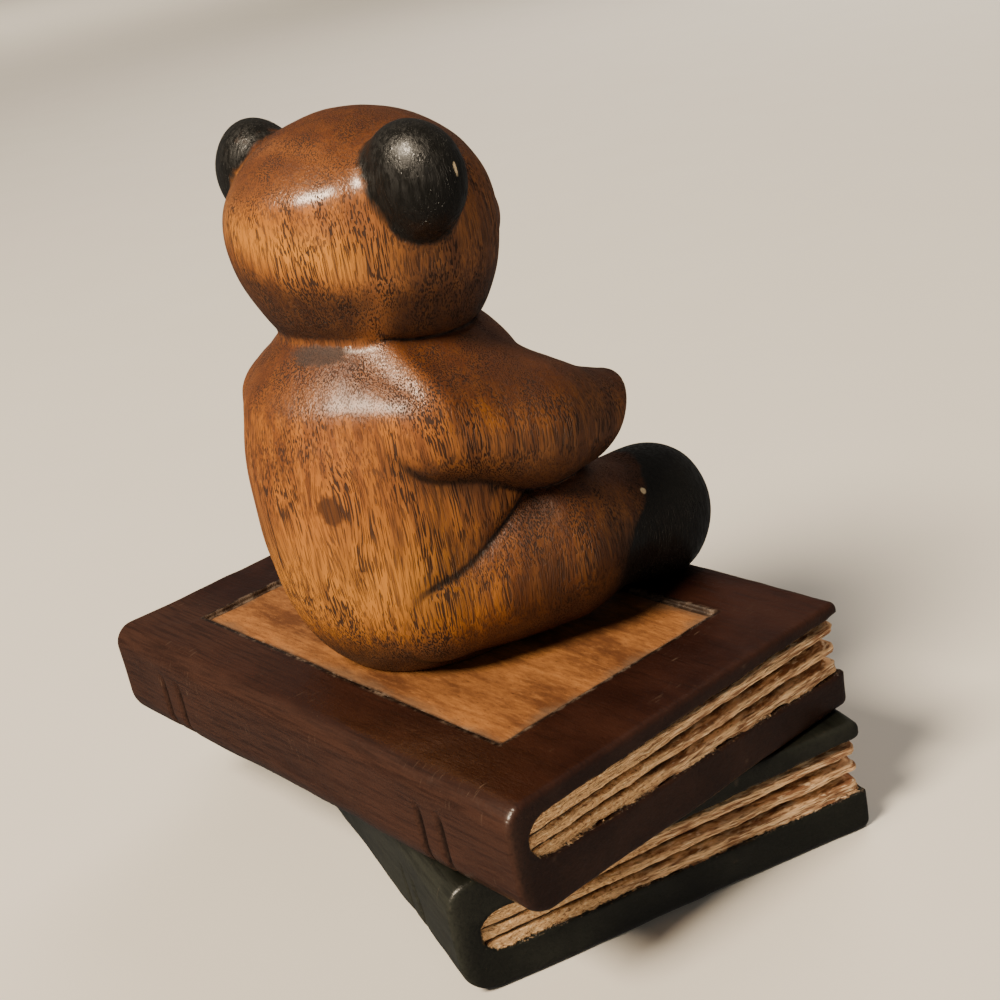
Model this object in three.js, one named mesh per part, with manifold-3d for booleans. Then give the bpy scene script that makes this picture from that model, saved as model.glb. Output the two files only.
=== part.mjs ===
// A carved wooden bear sitting on two stacked wooden books, in millimetres, +Z up.
// The bear looks along -Y and its right side is at -X. The origin is on the underside of the
// lower book, below the middle of the bear. Three pieces: the bear and the two books, each
// carved from one block of wood and glued flat on the piece below.
import * as THREE from 'three';
import { ConvexGeometry } from 'three/addons/geometries/ConvexGeometry.js';
import { mergeVertices } from 'three/addons/utils/BufferGeometryUtils.js';
import Module from 'manifold-3d';

const wasm = await Module();
wasm.setup();

// Books
const bookLength = 152;
const upperWidth = 98;
const lowerWidth = 100;
const upperThickness = 25.5;
const lowerThickness = 27;
const spineRoundTop = 5;
const spineRoundBottom = 8;
const coverEdgeRound = 1.8;
const endRound = 1;
const spineCover = 5.5;
const pageInset = 0.8;
const upperTopCover = 3;
const upperBottomCover = 8;
const lowerTopCover = 4;
const lowerBottomCover = 9;
const pageNarrowing = 2.4;
const leafCount = 3;
const leafGrooveWidth = 1.9;
const leafGrooveDepth = 3.6;
const leafGrooveStart = 2;
const outerGrooveSetback = 4;
const spineLineInset = 22;
const spineLineSpacing = 7;
const spineLineWidth = 1.6;
const spineLineDepth = 1.1;

// Stack
const lowerTurn = THREE.MathUtils.degToRad(-17.1);
const lowerShiftX = 4.9;
const lowerShiftY = -18.8;
const glueGap = 0.3;

// Bare panel on the upper cover
const panelLength = 114;
const panelWidth = 64.5;
const panelDepth = 0.8;
const panelShiftX = 1.2;

// Bear
const bearHeight = 119;
const footClearance = 0.3;

// Sizes of the carved forms, as shares of the bear's height. A place is [x, y, z] from the
// middle of the seat, and paired forms are given on the bear's right side.
const forms = {
  hips: { at: [0, 0.025, 0.218], radii: [0.274, 0.281, 0.303] },
  chest: { at: [0, 0.029, 0.462], radii: [0.261, 0.252, 0.218] },
  waistBlend: 0.185,
  shoulderBlend: 0.067,
  shoulderFoot: 0.4,
  shoulderTop: 0.52,
  underarmBlend: 0.03,
  elbow: { at: [-0.21, 0.092, 0.462], radius: 0.101 },
  forearm: { at: [-0.248, -0.092, 0.42], radius: 0.105 },
  paw: { at: [-0.235, -0.281, 0.371], radius: 0.081 },
  pawEnd: { ahead: -0.289, height: 0.395, lean: 0.85, round: 0.021 },
  armBlend: 0.067,
  hip: { at: [-0.147, 0.101, 0.147], radius: 0.126 },
  knee: { at: [-0.214, -0.109, 0.171], radius: 0.153 },
  thighTallness: 1.08,
  foot: { at: [-0.227, -0.361, 0.129], radii: [0.122, 0.13, 0.137] },
  legBlend: 0.134,
  skull: { at: [0, 0.004, 0.8], radii: [0.256, 0.239, 0.2] },
  jaw: { at: [0, -0.008, 0.681], radii: [0.185, 0.16, 0.143] },
  headBlend: 0.118,
  muzzle: { at: [0, -0.185, 0.752], radii: [0.109, 0.112, 0.088] },
  muzzleBlend: 0.05,
  nose: { at: [0, -0.276, 0.778], radii: [0.039, 0.024, 0.028] },
  noseBlend: 0.012,
  ear: { at: [-0.235, 0.042, 0.893], radii: [0.1, 0.075, 0.104] },
  earBlend: 0.02,
};
const torsoStep = 0.039;
const headStep = 0.035;
const legStep = 0.035;
const fieldMargin = 0.06;

const paint = {
  honeyWood: new THREE.MeshStandardMaterial({ color: 0x7a4418, roughness: 0.42, metalness: 0 }),
  maroonPaint: new THREE.MeshStandardMaterial({ color: 0x34140f, roughness: 0.4, metalness: 0 }),
  greenBlackPaint: new THREE.MeshStandardMaterial({ color: 0x15181a, roughness: 0.5, metalness: 0 }),
};

// Solid shapes

function solidOf(geometry, matrix = new THREE.Matrix4()) {
  const bare = new THREE.BufferGeometry();
  bare.setAttribute('position', geometry.getAttribute('position').clone());
  if (geometry.index) bare.setIndex(geometry.index.clone());
  const merged = mergeVertices(bare.applyMatrix4(matrix), 1e-4);
  return new wasm.Manifold(new wasm.Mesh({
    numProp: 3,
    vertProperties: new Float32Array(merged.getAttribute('position').array),
    triVerts: new Uint32Array(merged.index.array),
  }));
}

function geometryOf(solid) {
  const { vertProperties, triVerts } = solid.getMesh();
  const geometry = new THREE.BufferGeometry();
  geometry.setAttribute('position', new THREE.BufferAttribute(vertProperties, 3));
  geometry.setIndex(new THREE.BufferAttribute(triVerts, 1));
  geometry.computeVertexNormals();
  return geometry;
}

// A block given by its lowest and highest corner.
function block(low, high) {
  const size = high.map((value, i) => value - low[i]);
  const middle = high.map((value, i) => (value + low[i]) / 2);
  return solidOf(new THREE.BoxGeometry(...size), new THREE.Matrix4().makeTranslation(...middle));
}

// A V-shaped cut from one point to another. Out points away from the wood and side runs
// across the cut. The cut starts and ends with the widths and depths given.
function vCut(from, to, out, side, widths, depths) {
  const lift = 0.5;
  const corners = [];
  [from, to].forEach((point, end) => {
    const deep = point.clone().addScaledVector(out, -depths[end]);
    const spread = (widths[end] / 2) * (1 + lift / depths[end]);
    const high = point.clone().addScaledVector(out, lift);
    corners.push(deep);
    corners.push(high.clone().addScaledVector(side, spread));
    corners.push(high.clone().addScaledVector(side, -spread));
  });
  return solidOf(new ConvexGeometry(corners));
}

// A book lies with its spine at +Y, its underside at z = 0 and its middle on the z axis.

// The book's outline seen from its end, with the shape's x along Y and the shape's y along Z.
function endOutline(width, thickness) {
  const half = width / 2;
  const round = coverEdgeRound;
  const outline = new THREE.Shape();
  outline.moveTo(-half + round, 0);
  outline.absarc(half - spineRoundBottom, spineRoundBottom, spineRoundBottom, -Math.PI / 2, 0, false);
  outline.absarc(half - spineRoundTop, thickness - spineRoundTop, spineRoundTop, 0, Math.PI / 2, false);
  outline.absarc(-half + round, thickness - round, round, Math.PI / 2, Math.PI, false);
  outline.absarc(-half + round, round, round, Math.PI, 1.5 * Math.PI, false);
  return outline;
}

// The page block's outline at the book's end: tall at the fore-edge, narrow and round at the spine.
function pageOutline(width, low, high) {
  const beyond = -width / 2 - 1;
  const round = (high - low) / 2 - pageNarrowing;
  const spineY = width / 2 - spineCover - round;
  const outline = new THREE.Shape();
  outline.moveTo(beyond, low);
  outline.absarc(spineY, (low + high) / 2, round, -Math.PI / 2, Math.PI / 2, false);
  outline.lineTo(beyond, high);
  return outline;
}

// Turns a shape drawn in the end view so that its extrusion runs along +X from startX.
function alongX(startX) {
  const turn = new THREE.Matrix4().makeBasis(
    new THREE.Vector3(0, 1, 0),
    new THREE.Vector3(0, 0, 1),
    new THREE.Vector3(1, 0, 0),
  );
  return new THREE.Matrix4().makeTranslation(startX, 0, 0).multiply(turn);
}

function bookBlock(width, thickness) {
  const body = new THREE.ExtrudeGeometry(endOutline(width, thickness), {
    depth: bookLength - 2 * endRound,
    curveSegments: 6,
    bevelSize: endRound,
    bevelThickness: endRound,
    bevelOffset: -endRound,
    bevelSegments: 2,
  });
  return solidOf(body, alongX(-bookLength / 2 + endRound));
}

// The pages sit a little behind the covers' edges on both ends and the fore-edge.
function pageCuts(width, low, high) {
  const cuts = [];
  const pocket = new THREE.ExtrudeGeometry(pageOutline(width, low, high), {
    depth: pageInset + 1,
    curveSegments: 6,
    bevelEnabled: false,
  });
  cuts.push(solidOf(pocket, alongX(-bookLength / 2 - 1)));
  cuts.push(solidOf(pocket, alongX(bookLength / 2 - pageInset)));
  const foreEdge = -width / 2;
  cuts.push(block([-bookLength / 2 - 1, foreEdge - 1, low], [bookLength / 2 + 1, foreEdge + pageInset, high]));
  return cuts;
}

// V-shaped cuts part the page block into leaves and from the covers.
function leafCuts(width, low, high) {
  const cuts = [];
  const foreY = -width / 2 + pageInset;
  const spineY = width / 2 - spineCover - leafGrooveStart;
  const up = new THREE.Vector3(0, 0, 1);
  for (let i = 0; i <= leafCount; i += 1) {
    const share = i / leafCount;
    const edge = leafGrooveWidth / 2;
    const foreZ = THREE.MathUtils.lerp(low + edge, high - edge, share);
    const spineZ = THREE.MathUtils.lerp(low + pageNarrowing + edge, high - pageNarrowing - edge, share);
    const isOuter = i === 0 || i === leafCount;
    const startWidth = isOuter ? leafGrooveWidth / 2 : leafGrooveWidth / 1.5;
    for (const end of [-1, 1]) {
      const endX = end * (bookLength / 2 - pageInset);
      cuts.push(vCut(
        new THREE.Vector3(endX, spineY - (isOuter ? outerGrooveSetback : 0), spineZ),
        new THREE.Vector3(endX, foreY - 1, foreZ),
        new THREE.Vector3(end, 0, 0),
        up,
        [startWidth, leafGrooveWidth],
        [leafGrooveDepth / 2, leafGrooveDepth],
      ));
    }
    cuts.push(vCut(
      new THREE.Vector3(-bookLength / 2, foreY, foreZ),
      new THREE.Vector3(bookLength / 2, foreY, foreZ),
      new THREE.Vector3(0, -1, 0),
      up,
      [leafGrooveWidth, leafGrooveWidth],
      [leafGrooveDepth, leafGrooveDepth],
    ));
  }
  return cuts;
}

// Two incised lines run up the spine near each of its ends.
function spineLineCuts(width, thickness) {
  const cuts = [];
  const spineY = width / 2;
  for (const end of [-1, 1]) {
    for (const step of [0, 1]) {
      const x = end * (bookLength / 2 - spineLineInset - step * spineLineSpacing);
      cuts.push(vCut(
        new THREE.Vector3(x, spineY, 0),
        new THREE.Vector3(x, spineY, thickness),
        new THREE.Vector3(0, 1, 0),
        new THREE.Vector3(1, 0, 0),
        [spineLineWidth, spineLineWidth],
        [spineLineDepth, spineLineDepth],
      ));
    }
  }
  return cuts;
}

function panelCut(thickness) {
  const floor = thickness - panelDepth;
  const low = [panelShiftX - panelLength / 2, -panelWidth / 2, floor];
  const high = [panelShiftX + panelLength / 2, panelWidth / 2, thickness + 1];
  return block(low, high);
}

function book(width, thickness, bottomCover, topCover, moreCuts = []) {
  const low = bottomCover;
  const high = thickness - topCover;
  const cuts = [
    ...pageCuts(width, low, high),
    ...leafCuts(width, low, high),
    ...spineLineCuts(width, thickness),
    ...moreCuts,
  ];
  return cuts.reduce((solid, cut) => solid.subtract(cut), bookBlock(width, thickness));
}

// The bear's forms are fields: functions of a point that are negative inside the wood.

const scaled = (list) => list.map((share) => share * bearHeight);

function egg({ at, radii }) {
  const [cx, cy, cz] = scaled(at);
  const [rx, ry, rz] = scaled(radii);
  return (x, y, z) => {
    const [u, v, w] = [(x - cx) / rx, (y - cy) / ry, (z - cz) / rz];
    const near = Math.hypot(u, v, w) + 1e-9;
    const slope = Math.hypot(u / rx, v / ry, w / rz) + 1e-9;
    return (near * (near - 1)) / slope;
  };
}

// A limb that narrows or widens from one ball to the next, taller than wide by the tallness.
function limb(start, end, tallness = 1) {
  const [ax, ay, az] = scaled(start.at);
  const [bx, by, bz] = scaled(end.at);
  const [dx, dy, dz] = [bx - ax, by - ay, (bz - az) / tallness];
  const lengthSquared = dx * dx + dy * dy + dz * dz;
  return (x, y, z) => {
    const [px, py, pz] = [x - ax, y - ay, (z - az) / tallness];
    const t = THREE.MathUtils.clamp((px * dx + py * dy + pz * dz) / lengthSquared, 0, 1);
    const distance = Math.hypot(px - t * dx, py - t * dy, pz - t * dz);
    return distance - THREE.MathUtils.lerp(start.radius, end.radius, t) * bearHeight;
  };
}

// The join of two fields, with the corner between them filled to the size that blend gives.
function melted(first, second, blend) {
  return (x, y, z) => {
    const size = (typeof blend === 'function' ? blend(z) : blend) * bearHeight;
    const [a, b] = [first(x, y, z), second(x, y, z)];
    const h = THREE.MathUtils.clamp(0.5 + (b - a) / (2 * size), 0, 1);
    return THREE.MathUtils.lerp(b, a, h) - size * h * (1 - h);
  };
}

// What lies inside both fields, with the edge between them rounded.
function trimmed(first, second, round) {
  const size = round * bearHeight;
  return (x, y, z) => {
    const [a, b] = [first(x, y, z), second(x, y, z)];
    const beyond = Math.hypot(Math.max(a + size, 0), Math.max(b + size, 0));
    return Math.min(Math.max(a, b), -size) + beyond;
  };
}

// The slanting plane that ends the paw. It faces forwards and down.
function pawPlane({ ahead, height, lean }) {
  const length = Math.hypot(1, lean);
  return (x, y, z) => (ahead * bearHeight - y - lean * (z - height * bearHeight)) / length;
}

// Gives the form on the bear's right side to its left side too.
const paired = (field) => (x, y, z) => field(-Math.abs(x), y, z);

function torsoField() {
  const trunk = melted(egg(forms.hips), egg(forms.chest), forms.waistBlend);
  const arm = melted(
    limb(forms.elbow, forms.forearm),
    trimmed(limb(forms.forearm, forms.paw), pawPlane(forms.pawEnd), forms.pawEnd.round),
    forms.armBlend,
  );
  // The shoulder melts into the chest, and the underside of the arm meets the side in a crease.
  const creaseToShoulder = (z) => THREE.MathUtils.mapLinear(
    THREE.MathUtils.clamp(z / bearHeight, forms.shoulderFoot, forms.shoulderTop),
    forms.shoulderFoot,
    forms.shoulderTop,
    forms.underarmBlend,
    forms.shoulderBlend,
  );
  return melted(trunk, paired(arm), creaseToShoulder);
}

function headField() {
  const ball = melted(egg(forms.skull), egg(forms.jaw), forms.headBlend);
  const faced = melted(ball, egg(forms.muzzle), forms.muzzleBlend);
  const nosed = melted(faced, egg(forms.nose), forms.noseBlend);
  return melted(nosed, paired(egg(forms.ear)), forms.earBlend);
}

function legField() {
  return melted(limb(forms.hip, forms.knee, forms.thighTallness), egg(forms.foot), forms.legBlend);
}

// The box around a form, with a margin, as shares of the bear's height.
function boxAround(...parts) {
  const low = [Infinity, Infinity, Infinity];
  const high = [-Infinity, -Infinity, -Infinity];
  for (const part of parts) {
    const radii = part.radii ?? [part.radius, part.radius, part.radius];
    part.at.forEach((value, i) => {
      low[i] = Math.min(low[i], value - radii[i] - fieldMargin);
      high[i] = Math.max(high[i], value + radii[i] + fieldMargin);
    });
  }
  return { low, high };
}

// Wraps the surface where a field is zero in a closed net: one point in each grid cell that
// the surface crosses, and four-sided meshes around each grid edge that it crosses.
function netAround(field, box, stepShare) {
  const step = stepShare * bearHeight;
  const low = scaled(box.low);
  const counts = low.map((value, i) => Math.ceil((box.high[i] * bearHeight - value) / step) + 1);
  const [nx, ny, nz] = counts;
  const nodeIndex = (i, j, k) => (k * ny + j) * nx + i;
  const values = new Float64Array(nx * ny * nz);
  for (let k = 0; k < nz; k += 1) {
    for (let j = 0; j < ny; j += 1) {
      for (let i = 0; i < nx; i += 1) {
        values[nodeIndex(i, j, k)] = field(low[0] + i * step, low[1] + j * step, low[2] + k * step);
      }
    }
  }
  const points = [];
  const pointOfCell = new Map();
  for (let k = 0; k < nz - 1; k += 1) {
    for (let j = 0; j < ny - 1; j += 1) {
      for (let i = 0; i < nx - 1; i += 1) {
        const point = cellPoint(values, nodeIndex, i, j, k);
        if (point) {
          pointOfCell.set(nodeIndex(i, j, k), points.length / 3);
          points.push(...settled(field, point.map((value, axis) => low[axis] + value * step), step));
        }
      }
    }
  }
  const quads = crossedEdges(values, nodeIndex, counts).map((cells) => cells.map((c) => pointOfCell.get(c)));
  const geometry = new THREE.BufferGeometry();
  geometry.setAttribute('position', new THREE.Float32BufferAttribute(points, 3));
  geometry.setIndex(quads.flatMap((quad) => splitQuad(quad, points)));
  return geometry;
}

// The mean of the places where the surface crosses a cell's edges, in grid steps.
function cellPoint(values, nodeIndex, i, j, k) {
  const sum = [0, 0, 0];
  let crossings = 0;
  for (let axis = 0; axis < 3; axis += 1) {
    for (let u = 0; u < 2; u += 1) {
      for (let v = 0; v < 2; v += 1) {
        const start = [0, 0, 0];
        start[(axis + 1) % 3] = u;
        start[(axis + 2) % 3] = v;
        const end = [...start];
        end[axis] = 1;
        const a = values[nodeIndex(i + start[0], j + start[1], k + start[2])];
        const b = values[nodeIndex(i + end[0], j + end[1], k + end[2])];
        if (a < 0 !== b < 0) {
          const t = a / (a - b);
          start.forEach((value, n) => { sum[n] += value + t * (end[n] - value); });
          crossings += 1;
        }
      }
    }
  }
  return crossings ? [i + sum[0] / crossings, j + sum[1] / crossings, k + sum[2] / crossings] : null;
}

// Moves a point onto the surface along the field's slope, by no more than half a grid step.
function settled(field, point, step) {
  const reach = 0.02 * step;
  let place = [...point];
  for (let round = 0; round < 3; round += 1) {
    const value = field(...place);
    const slope = place.map((_, axis) => {
      const ahead = [...place];
      ahead[axis] += reach;
      return (field(...ahead) - value) / reach;
    });
    const steepness = slope.reduce((sum, s) => sum + s * s, 0) + 1e-9;
    place = place.map((p, axis) => p - (value * slope[axis]) / steepness);
  }
  return place.map((p, axis) => THREE.MathUtils.clamp(p, point[axis] - step / 2, point[axis] + step / 2));
}

// For each grid edge that the surface crosses, the four cells around it, turned to face out.
function crossedEdges(values, nodeIndex, counts) {
  const quads = [];
  for (let k = 1; k < counts[2] - 1; k += 1) {
    for (let j = 1; j < counts[1] - 1; j += 1) {
      for (let i = 1; i < counts[0] - 1; i += 1) {
        const here = [i, j, k];
        for (let axis = 0; axis < 3; axis += 1) {
          const next = [...here];
          next[axis] += 1;
          const inside = values[nodeIndex(...here)] < 0;
          if (inside !== values[nodeIndex(...next)] < 0) {
            const around = [[0, 0], [1, 0], [1, 1], [0, 1]].map(([u, v]) => {
              const cell = [...here];
              cell[(axis + 1) % 3] -= u;
              cell[(axis + 2) % 3] -= v;
              return nodeIndex(...cell);
            });
            quads.push(inside ? around : around.reverse());
          }
        }
      }
    }
  }
  return quads;
}

// Two triangles across a quad's shorter diagonal.
function splitQuad([a, b, c, d], points) {
  const gap = (p, q) => Math.hypot(
    points[3 * p] - points[3 * q],
    points[3 * p + 1] - points[3 * q + 1],
    points[3 * p + 2] - points[3 * q + 2],
  );
  return gap(a, c) < gap(b, d) ? [a, b, c, a, c, d] : [a, b, d, b, c, d];
}

function bear() {
  const { hips, chest, elbow, forearm, paw, hip, knee, foot, skull, jaw, muzzle, nose, ear } = forms;
  const otherSide = (part) => ({ ...part, at: [-part.at[0], part.at[1], part.at[2]] });
  const torsoBox = boxAround(hips, chest, elbow, forearm, paw, otherSide(elbow), otherSide(forearm));
  const torso = solidOf(netAround(torsoField(), torsoBox, torsoStep));
  const headBox = boxAround(skull, jaw, muzzle, nose, ear, otherSide(ear));
  const head = solidOf(netAround(headField(), headBox, headStep));
  const leg = netAround(legField(), boxAround(hip, knee, foot), legStep);
  const rightLeg = solidOf(leg);
  const leftLeg = rightLeg.mirror([1, 0, 0]);
  const whole = [head, rightLeg, leftLeg].reduce((sum, piece) => sum.add(piece), torso);
  const reach = bearHeight;
  const belowSeat = block([-reach, -reach, -reach], [reach, reach, 0]);
  const borderTop = panelDepth + footClearance;
  const overBorder = block([-reach, -reach, -reach], [reach, -panelWidth / 2 + footClearance, borderTop]);
  return whole.subtract(belowSeat).subtract(overBorder);
}

function named(name, solid, material) {
  const mesh = new THREE.Mesh(geometryOf(solid), material);
  mesh.name = name;
  return mesh;
}

const figurine = new THREE.Group();

const lowerBook = named(
  'lower_book',
  book(lowerWidth, lowerThickness, lowerBottomCover, lowerTopCover),
  paint.greenBlackPaint,
);
lowerBook.position.set(lowerShiftX, lowerShiftY, 0);
lowerBook.rotation.z = lowerTurn;
figurine.add(lowerBook);

const upperBook = named(
  'upper_book',
  book(upperWidth, upperThickness, upperBottomCover, upperTopCover, [panelCut(upperThickness)]),
  paint.maroonPaint,
);
upperBook.position.z = lowerThickness + glueGap;
figurine.add(upperBook);

const seatedBear = named('bear', bear(), paint.honeyWood);
seatedBear.position.z = upperBook.position.z + upperThickness - panelDepth;
figurine.add(seatedBear);

export default figurine;
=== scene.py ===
"""A carved wooden bear with black ears and feet, sitting on two stacked wooden books.

Lengths are in millimetres until the meshes are made, and the meshes are in metres.
The bear looks along -Y, its right side is at -X, and +Z is up.
"""
import math

import bpy
import numpy as np
from mathutils import Matrix, Vector


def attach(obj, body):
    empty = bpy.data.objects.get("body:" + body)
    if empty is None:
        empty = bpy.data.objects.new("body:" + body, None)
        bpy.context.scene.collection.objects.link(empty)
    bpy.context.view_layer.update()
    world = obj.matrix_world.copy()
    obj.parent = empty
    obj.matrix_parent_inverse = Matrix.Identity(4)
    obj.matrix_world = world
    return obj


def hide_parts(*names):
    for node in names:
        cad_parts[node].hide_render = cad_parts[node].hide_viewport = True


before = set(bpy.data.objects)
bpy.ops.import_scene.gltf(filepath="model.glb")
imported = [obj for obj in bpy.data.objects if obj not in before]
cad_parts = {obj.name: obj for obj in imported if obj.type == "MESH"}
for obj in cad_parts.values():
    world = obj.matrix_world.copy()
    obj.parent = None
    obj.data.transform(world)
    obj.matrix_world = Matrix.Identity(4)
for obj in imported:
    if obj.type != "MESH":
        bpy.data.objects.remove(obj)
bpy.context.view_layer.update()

MM = 0.001

# Books
BOOK_LENGTH = 152.0
SPINE_ROUND_TOP = 5.0
SPINE_ROUND_BOTTOM = 8.0
COVER_EDGE_ROUND = 1.8
END_ROUND = 1.3
GLUE_GAP = 0.3
LEAF_COUNT = 3
# Each cut beside a leaf: its height counted in leaves, and its half width at the spine and the
# fore-edge.
LEAF_CUTS = ((0.0, 0.1, 0.3), (0.86, 0.55, 1.45), (1.8, 0.55, 1.6), (3.0, 0.1, 2.6))
SPINE_LINES = (-53.6, -46.8, 47.4, 54.6)
SPINE_LINE_DEPTH = 1.2
SPINE_LINE_WIDTH = 0.8

# Each page block is a wedge seen from the book's end: (across, height, half thickness) at the
# spine and at the fore-edge.
UPPER = {
    "width": 98.0,
    "thickness": 25.5,
    "spine": (39.6, 16.2, 4.9),
    "fore": (-49.0, 15.4, 7.3),
    "has_panel": True,
    "seed": 11,
}
LOWER = {
    "width": 100.0,
    "thickness": 27.0,
    "spine": (39.2, 13.6, 4.9),
    "fore": (-50.0, 16.3, 7.1),
    "has_panel": False,
    "seed": 21,
}
LOWER_TURN = math.radians(-17.1)
LOWER_SHIFT = (4.9, -18.8)

# Bare panel on the upper cover
PANEL_LENGTH = 114.0
PANEL_WIDTH = 64.5
PANEL_DEPTH = 0.8
PANEL_SHIFT_X = 1.2

# Bear
UPPER_BOOK_HEIGHT = LOWER["thickness"] + GLUE_GAP
SEAT_HEIGHT = UPPER_BOOK_HEIGHT + UPPER["thickness"] - PANEL_DEPTH
BORDER_CLEARANCE = 0.3
BEAR_LOW = (-46.0, -63.0, -1.0)
BEAR_HIGH = (46.0, 40.0, 122.0)
# The middle and the half sizes of egg-shaped forms
EAR = ((-28, 5, 107.2), (12, 9, 11.8))
EAR_PAINT = ((-28.5, 5, 107.2), (12, 9, 11.8))
EAR_HOLLOW = ((-32, -9, 108), (8.5, 8, 9))
NOSE = ((0, -32.6, 92.6), (4.6, 2.6, 3.2))
EYE = ((-9.4, -26.0, 100.5), (2.2, 1.0, 2.5))
PAW_CUT_SLOPE = 0.85
MOUTH_HEIGHT = 85.4
# Where the black paint on the feet ends, from the soles up
FOOT_PAINT_TOP = 36
FOOT_PAINT_HEIGHTS = (0, 10, 15, 20, 24, 28, 32)
FOOT_PAINT_EDGE = (-20, -20, -22, -25.5, -32.5, -35.5, -39)
# The differences of two forms are kept up to this size, as shares of it.
GAP_REACH = 9

# Meshes: the steps of their grids, and how far a point may move to reach the surface
BEAR_STEP = 0.85
BOOK_COARSE_STEPS = (1.8, 1.0)
BOOK_FINE_STEPS = (0.6, 0.65, 0.6)
BOOK_REACH = 0.3
BOOK_MARGIN = 1.5
LAYERS_AT_ONCE = 12
SLOPE_STEP = 0.05
SETTLING_ROUNDS = 3
LUMP_TABLE_SIZE = 32

# Camera, fitted to the photograph
CAMERA_PLACE = (-294.18, 201.05, 218.93)
CAMERA_AZIMUTH = 232.86
CAMERA_ELEVATION = 21.48
CAMERA_ROLL = -11.16
CAMERA_LENS = 60.15
SENSOR_WIDTH = 36

# The floor and the lights, in metres and watts
FLOOR_REACH = 9.0
OBJECT_MIDDLE = (0, 0, 0.08)
# Each light's name, place, target, width and power, its colour, and whether gloss shows it. The
# lights on the unseen front and on the far floor are even, and put no gloss on the covers.
LIGHTS = (
    ("key", (-0.07, 1.65, 1.95), OBJECT_MIDDLE, 0.85, 112, (1.0, 0.83, 0.62), True),
    ("fill", (-0.9, 0.6, 0.5), OBJECT_MIDDLE, 0.8, 0.3, (1.0, 0.92, 0.82), True),
    ("far_fill", (3.9, -1.4, 2.6), (6.0, -2.0, 0), 3.0, 100, (1.0, 0.87, 0.7), False),
    ("front_fill", (0.8, -1.7, 1.2), OBJECT_MIDDLE, 1.6, 24, (1.0, 0.9, 0.78), False),
)


# Fields: each gives a distance in millimetres that is negative inside the wood.

def length_of(vectors):
    return np.sqrt((vectors * vectors).sum(-1))


def egg(points, centre, radii):
    centre = np.array(centre, points.dtype)
    radii = np.array(radii, points.dtype)
    shares = (points - centre) / radii
    near = length_of(shares) + 1e-6
    slope = length_of(shares / radii) + 1e-6
    return near * (near - 1) / slope


def limb(points, start, end, start_radius, end_radius, tallness=1.0):
    stretch = np.array((1, 1, 1 / tallness), points.dtype)
    start = np.array(start, points.dtype) * stretch
    run = np.array(end, points.dtype) * stretch - start
    offset = points * stretch - start
    along = np.clip((offset @ run) / (run @ run), 0, 1)
    away = length_of(offset - along[..., None] * run)
    return away - (start_radius + (end_radius - start_radius) * along)


def melted(first, second, blend):
    share = np.clip(0.5 + 0.5 * (second - first) / blend, 0, 1)
    return second * (1 - share) + first * share - blend * share * (1 - share)


def creased(first, second, depth, width):
    """Joins two forms, with a carved line where they meet."""
    return np.minimum(first, second) + depth * near_zero(first - second, width)


def near_zero(values, width):
    """1 where a value is zero, falling to 0 over about this width."""
    return np.exp(-(values / width) ** 2)


def rising(values, start, span):
    """0 up to the start, and growing to 1 over the span."""
    return np.clip((values - start) / span, 0, 1)


def falling(values, end, span):
    """0 from the end on, and 1 before the span that leads to it."""
    return np.clip((end - values) / span, 0, 1)


def rounded_meet(first, second, radius):
    """What lies inside both forms, with the edge between them rounded."""
    outside = np.hypot(np.maximum(first + radius, 0), np.maximum(second + radius, 0))
    return np.minimum(np.maximum(first, second), -radius) + outside


def lumps(points, size, seed):
    """Smooth random values between -1 and 1, with lumps of this size in millimetres."""
    shape = (LUMP_TABLE_SIZE,) * 3
    table = np.random.default_rng(seed).uniform(-1, 1, shape).astype(np.float32)
    places = points / np.array(size, points.dtype)
    low = np.floor(places)
    share = places - low
    share = share * share * (3 - 2 * share)
    low = low.astype(np.int64)
    total = 0
    for i in (0, 1):
        for j in (0, 1):
            for k in (0, 1):
                cell = (low + (i, j, k)) % LUMP_TABLE_SIZE
                corner = table[cell[..., 0], cell[..., 1], cell[..., 2]]
                across = share[..., 0] if i else 1 - share[..., 0]
                behind = share[..., 1] if j else 1 - share[..., 1]
                above = share[..., 2] if k else 1 - share[..., 2]
                total = total + corner * across * behind * above
    return total


# The bear. The origin of its own space is the middle of its seat.

def mirrored(points):
    """Places on the bear's left side, moved to its right side."""
    right = points.copy()
    right[..., 0] = -np.abs(right[..., 0])
    return right


def trunk_form(points):
    hips = egg(points, (0, 3, 26), (32.6, 33.4, 36))
    chest = egg(points, (0, 3.5, 55), (31, 30, 26))
    return melted(hips, chest, 22)


def arm_form(right):
    upper_arm = limb(right, (-25, 11, 55.8), (-29.5, -11, 50), 11.6, 12.5)
    forearm = limb(right, (-29.5, -11, 50), (-28, -33.4, 44.2), 12.5, 9.6)
    # The paw ends in a slanting cut that faces forwards and down.
    paw_end = -right[..., 1] - PAW_CUT_SLOPE * (right[..., 2] - 47) - 34.4
    paw_end = paw_end / math.hypot(1, PAW_CUT_SLOPE)
    return melted(upper_arm, rounded_meet(forearm, paw_end, 2.5), 8)


def leg_form(right):
    thigh = limb(right, (-17.5, 12, 17.5), (-25.5, -13, 20.3), 15, 18.2, 1.08)
    foot = egg(right, (-27, -43, 15.3), (14.5, 15.5, 16.3))
    return melted(thigh, foot, 16)


def ear_form(right):
    return rounded_meet(egg(right, *EAR), -egg(right, *EAR_HOLLOW), 1.2)


def nose_form(points):
    return egg(points, *NOSE)


def eye_form(right):
    return egg(right, *EYE)


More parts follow.
